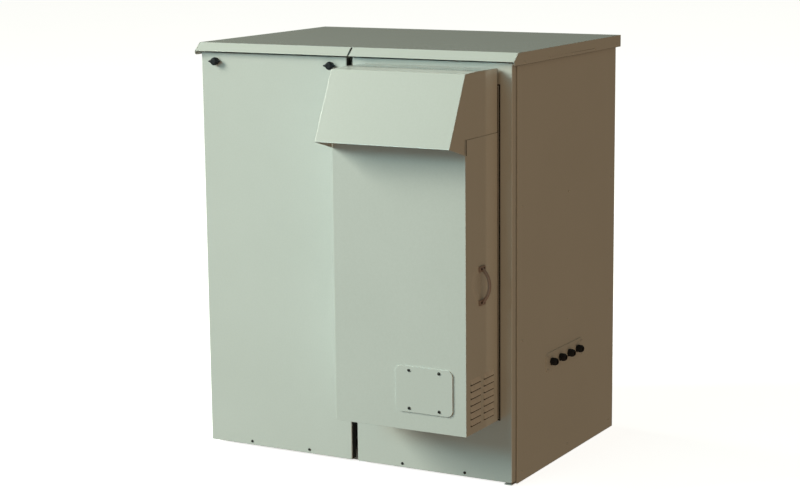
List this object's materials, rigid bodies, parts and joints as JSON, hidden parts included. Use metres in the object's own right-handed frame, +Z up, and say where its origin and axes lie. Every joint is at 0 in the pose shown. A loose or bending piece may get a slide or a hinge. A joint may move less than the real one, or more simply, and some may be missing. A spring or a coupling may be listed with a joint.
{
  "type": "roadside utility cabinet",
  "caption": "Two-bay outdoor equipment cabinet with sloping roof fascia, lift-off left cover, and a hooded cooling unit on the pivoting right door.",
  "frame": {"origin": "middle of the four anchor bolt holes at ground level, which is the middle of the carcass footprint", "axes": "+Z up, -Y towards the front (cover and door), +X to the right seen from the front"},
  "size_m": [1.2089, 1.174, 1.4],
  "materials": {
    "cream_paint": "semi-gloss fine textured powder coat, pale grey-green cream",
    "grey_frame_paint": "satin grey primer paint",
    "black_rubber": "matt cellular rubber",
    "black_plastic": "moulded satin",
    "plated_steel": "zinc plated",
    "blackened_steel": "black oxide",
    "brass_bar": "plain",
    "red_insulator": "moulded resin",
    "bare_aluminium": "plain mill finish"
  },
  "bodies": {
    "cabinet": {"base_rails": "grey_frame_paint", "floor_plate": "grey_frame_paint", "corner_posts": "grey_frame_paint", "mullion": "grey_frame_paint", "top_rails": "grey_frame_paint", "ceiling_panel": "cream_paint", "side_panel_left": "cream_paint", "side_panel_right": "cream_paint", "rear_panel": "cream_paint", "roof_cover": "cream_paint", "roof_rails": "grey_frame_paint", "roof_supports": "grey_frame_paint", "fascia_left": "cream_paint", "fascia_right": "cream_paint", "seal_left": "black_rubber", "seal_right": "black_rubber", "rack_rails": "plated_steel", "gland_plate": "cream_paint", "cable_glands": "black_plastic", "gland_nuts": "black_plastic", "gland_plate_screws": "plated_steel", "panel_screws": "cream_paint", "roof_screws": "cream_paint", "earth_bar": "brass_bar", "earth_spacers": "red_insulator", "pivot_brackets": "grey_frame_paint"},
    "cover": {"left_cover": "cream_paint", "cover_spigots": "blackened_steel"},
    "knob_a": {"knob_left": "black_plastic"},
    "knob_b": {"knob_right": "black_plastic"},
    "door": {"right_door": "cream_paint", "pivot_bushes": "plated_steel", "door_screws": "blackened_steel", "unit_gasket": "black_rubber", "unit_casing": "cream_paint", "hood_cover": "cream_paint", "hood_strips": "black_rubber", "outlet_guard": "blackened_steel", "cover_plate": "cream_paint", "cover_plate_screws": "blackened_steel", "handle_left": "grey_frame_paint", "handle_right": "grey_frame_paint", "handle_screws": "blackened_steel", "exchanger_core": "bare_aluminium", "outside_fan_frame": "black_plastic", "inside_fan_frame": "black_plastic"},
    "fan_a": {"outside_fan": "black_plastic"},
    "fan_b": {"inside_fan": "black_plastic"}
  },
  "joints": [
    {"name": "cover_liftoff", "type": "slide", "parent": "cabinet", "child": "cover", "axis": [0, -1, 0], "range_m": [0, 0.45]},
    {"name": "knob_left_turn", "type": "hinge", "parent": "cover", "child": "knob_a", "pos_m": [-0.52425, -0.435, 1.339], "axis": [0, -1, 0], "range_deg": [0, 90]},
    {"name": "knob_right_turn", "type": "hinge", "parent": "cover", "child": "knob_b", "pos_m": [-0.07325, -0.435, 1.339], "axis": [0, -1, 0], "range_deg": [0, 90]},
    {"name": "door_swing", "type": "hinge", "parent": "cabinet", "child": "door", "pos_m": [0.568, -0.424, 0], "axis": [0, 0, 1], "range_deg": [0, 100]},
    {"name": "outside_fan_spin", "type": "hinge", "parent": "door", "child": "fan_a", "pos_m": [0.3, -0.645, 1.213], "axis": [0, 1, 0], "continuous": true},
    {"name": "inside_fan_spin", "type": "hinge", "parent": "door", "child": "fan_b", "pos_m": [0.3, -0.455, 0.34], "axis": [0, 1, 0], "continuous": true}
  ]
}
